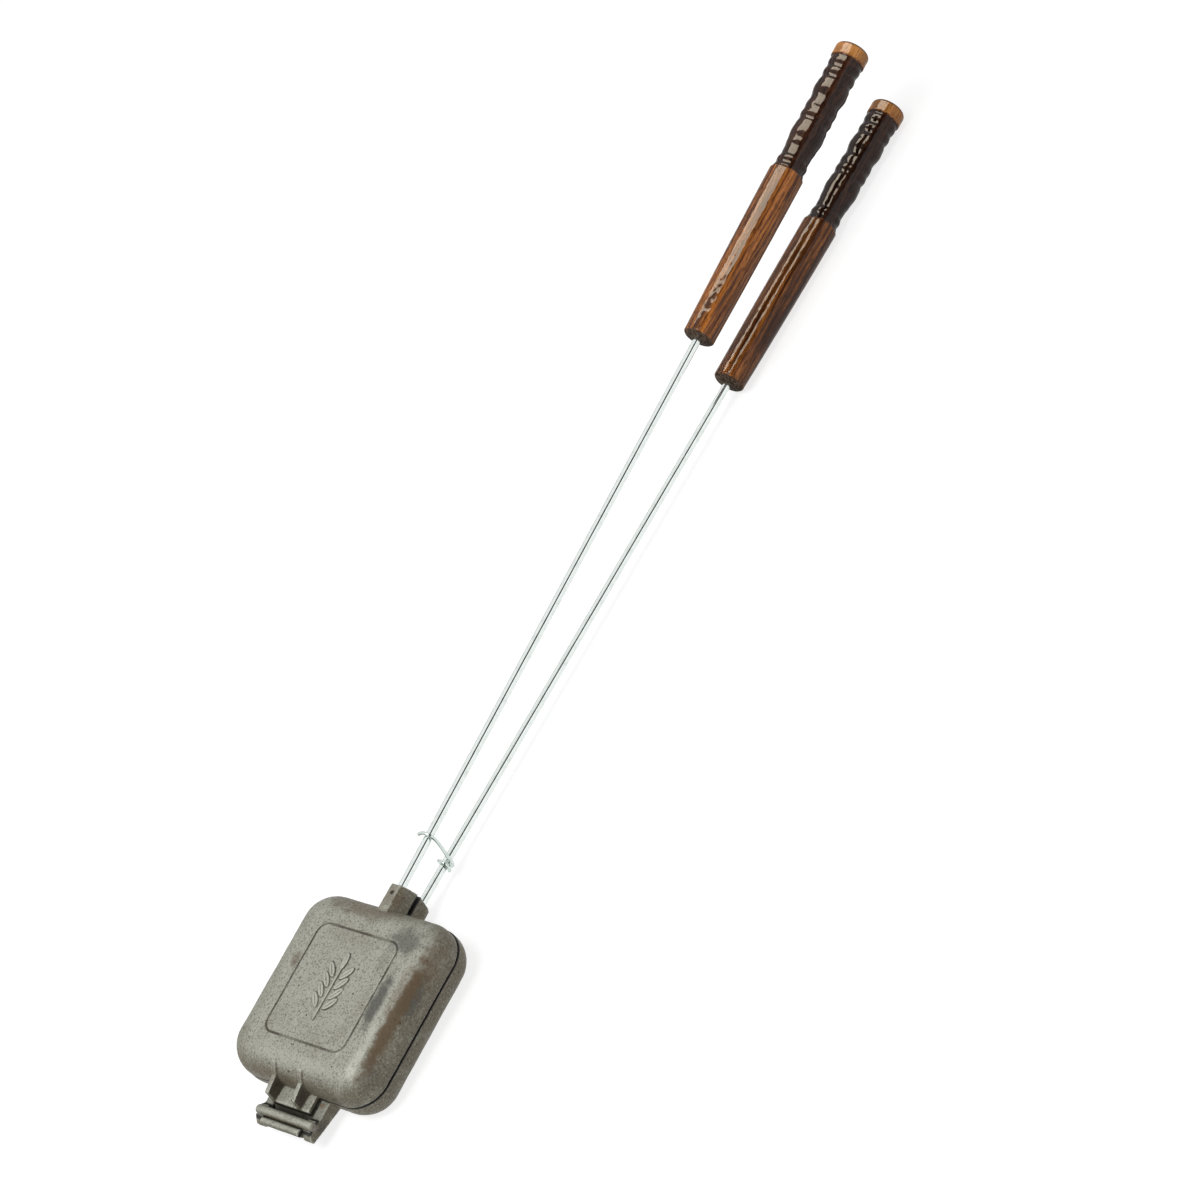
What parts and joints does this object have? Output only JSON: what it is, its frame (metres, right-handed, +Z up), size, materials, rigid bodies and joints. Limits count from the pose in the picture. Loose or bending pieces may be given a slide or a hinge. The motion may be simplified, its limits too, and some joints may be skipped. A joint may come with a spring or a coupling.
{
  "type": "pie iron",
  "caption": "Long-handled cast-iron pie iron: hinged square half shells with pillow edges, plated rods, turned wooden handles and a wire latch that holds it shut.",
  "frame": {"origin": "centre of the flat panel under the lower shell, inside its cast line", "axes": "+X from the hinge towards the handles, +Z up out of the lower panel towards the upper shell, Y across the head"},
  "size_m": [0.7098, 0.1058, 0.071],
  "materials": {
    "cast_iron": "bare sand-cast iron, fine grain, soft sheen",
    "plated_rod": "bright zinc-plated drawn rod",
    "pin_steel": "dull steel pin end",
    "handle_wood": "stained and lacquered hardwood, grip burnt dark",
    "latch_wire": "bright zinc-plated wire"
  },
  "bodies": {
    "lower_half": {"lower_shell": "cast_iron", "hinge_bar": "cast_iron", "lower_rod": "plated_rod", "lower_rod_pin": "pin_steel", "lower_handle": "handle_wood"},
    "upper_half": {"upper_shell": "cast_iron", "upper_rod": "plated_rod", "upper_rod_pin": "pin_steel", "upper_handle": "handle_wood"},
    "latch": {"latch_hook": "latch_wire"}
  },
  "joints": [
    {"name": "open", "type": "hinge", "parent": "lower_half", "child": "upper_half", "pos_m": [-0.0703, 0, 0.0201], "axis": [0, -1, 0], "range_deg": [0, 170]},
    {"name": "latch_swing", "type": "hinge", "parent": "lower_half", "child": "latch", "pos_m": [0.09619, 0, 0.00869], "axis": [0.9996, 0, -0.0297], "range_deg": [0, 105]}
  ]
}
